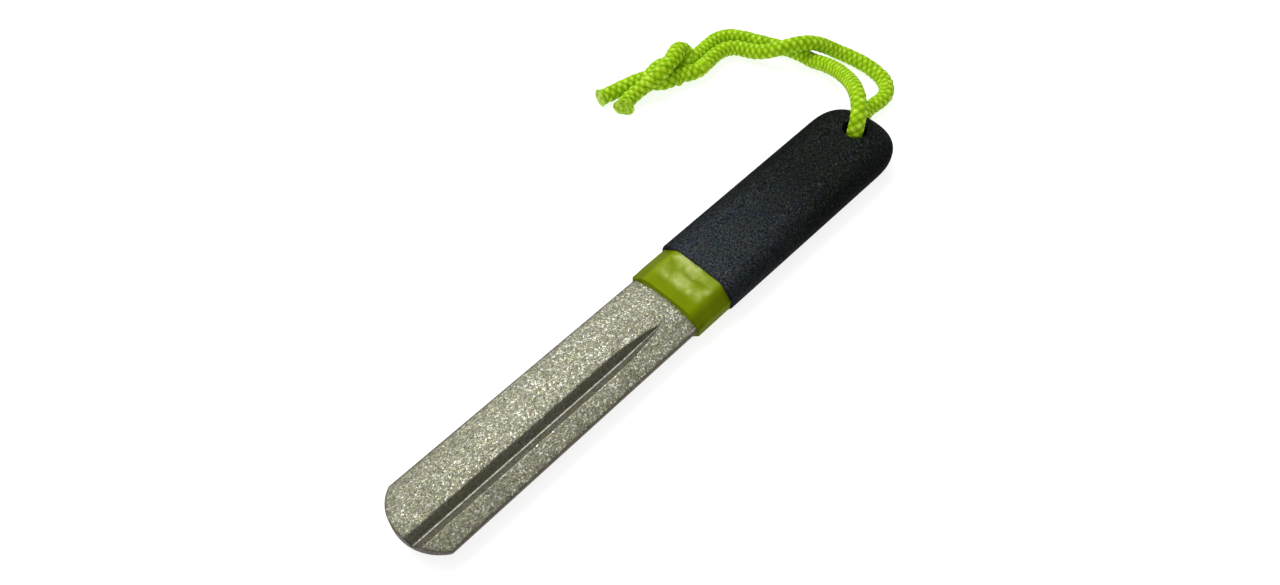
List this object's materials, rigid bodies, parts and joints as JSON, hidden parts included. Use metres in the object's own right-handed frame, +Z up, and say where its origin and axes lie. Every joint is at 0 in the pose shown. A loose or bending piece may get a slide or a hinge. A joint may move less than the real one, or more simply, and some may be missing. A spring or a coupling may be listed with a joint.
{
  "type": "knife sharpening steel",
  "caption": "Flat pocket sharpening steel: a crowned diamond-grit file with a V groove for hooks, a green collar, a black rubber grip and a knotted green lanyard.",
  "frame": {"origin": "on the flat base that the handle lies on, under the middle of the tool without its lanyard", "axes": "+X along the tool from the file's tip to the handle's end, +Y to the left of that direction, +Z up through the crowned and grooved face"},
  "size_m": [0.1734, 0.0709, 0.0155],
  "materials": {
    "grit_steel": "steel plated with coarse diamond grit, sparkling grey with olive and pale grains",
    "green_plastic": "olive to lime green moulded plastic, satin, with soft sink marks",
    "black_rubber": "black soft rubber with a fine matt grain",
    "lime_cord": "bright lime green braided nylon with a slight sheen, ends melted"
  },
  "bodies": {
    "root": {"steel_blade": "grit_steel", "handle_core": "green_plastic", "grip_sleeve": "black_rubber", "lanyard_strand_a": "lime_cord", "lanyard_strand_b": "lime_cord", "lanyard_knot": "lime_cord", "lanyard_tail_a": "lime_cord", "lanyard_tail_b": "lime_cord"}
  },
  "joints": []
}
